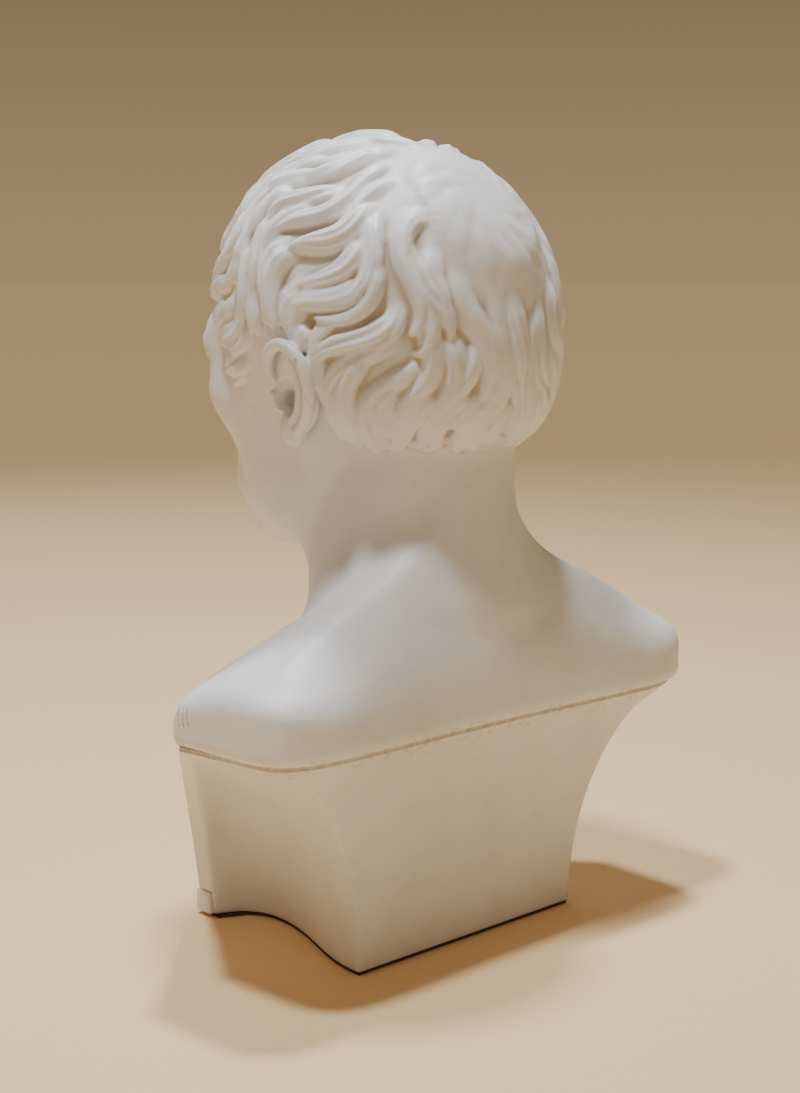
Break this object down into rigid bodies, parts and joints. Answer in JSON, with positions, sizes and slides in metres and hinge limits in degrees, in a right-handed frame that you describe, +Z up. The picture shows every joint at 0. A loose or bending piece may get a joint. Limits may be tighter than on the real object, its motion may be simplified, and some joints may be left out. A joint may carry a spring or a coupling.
{
  "type": "portrait bust",
  "caption": "White marble head and shoulders on a waisted stone plinth, held together by a hidden tie rod, standing on a felt base.",
  "frame": {"origin": "middle of the footprint, on the underside of the base felt", "axes": "+Z up through the head, -Y the way the face looks, +X towards the bust's own left shoulder"},
  "size_m": [0.2068, 0.144, 0.2797],
  "materials": {
    "white_marble": "satin",
    "plinth_marble": "satin",
    "setting_plaster": "matte",
    "brass_pin": "satin",
    "zinc_plated_steel": "satin",
    "anchor_resin": "matte",
    "base_felt": "matte"
  },
  "bodies": {
    "root": {"bust": "white_marble", "plinth": "plinth_marble", "foot_strip": "plinth_marble", "bed_joint": "setting_plaster", "foot_strip_pin_left": "brass_pin", "foot_strip_pin_right": "brass_pin", "locating_pin_left": "brass_pin", "locating_pin_right": "brass_pin", "tie_rod": "zinc_plated_steel", "rod_nut": "zinc_plated_steel", "rod_washer": "zinc_plated_steel", "rod_anchor": "anchor_resin", "base_felt": "base_felt"}
  },
  "joints": []
}
